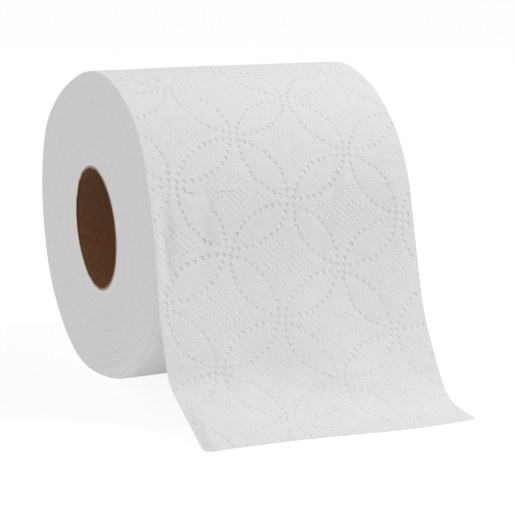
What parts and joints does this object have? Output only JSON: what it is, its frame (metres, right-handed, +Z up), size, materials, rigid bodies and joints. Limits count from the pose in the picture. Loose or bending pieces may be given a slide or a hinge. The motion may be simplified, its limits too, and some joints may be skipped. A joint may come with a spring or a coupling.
{
  "type": "toilet paper roll",
  "caption": "Round roll of white embossed tissue wound on a cardboard core, with the loose end of the web hanging down in front.",
  "frame": {"origin": "centre of the core's bore, halfway along it", "axes": "+X along the core, -Y towards the loose end in front, +Z up"},
  "size_m": [0.1016, 0.1595, 0.1136],
  "materials": {
    "tissue": "soft matte, embossed",
    "cardboard": "matte, spiral wound"
  },
  "bodies": {
    "root": {"tissue_web": "tissue", "cardboard_core": "cardboard"}
  },
  "joints": []
}
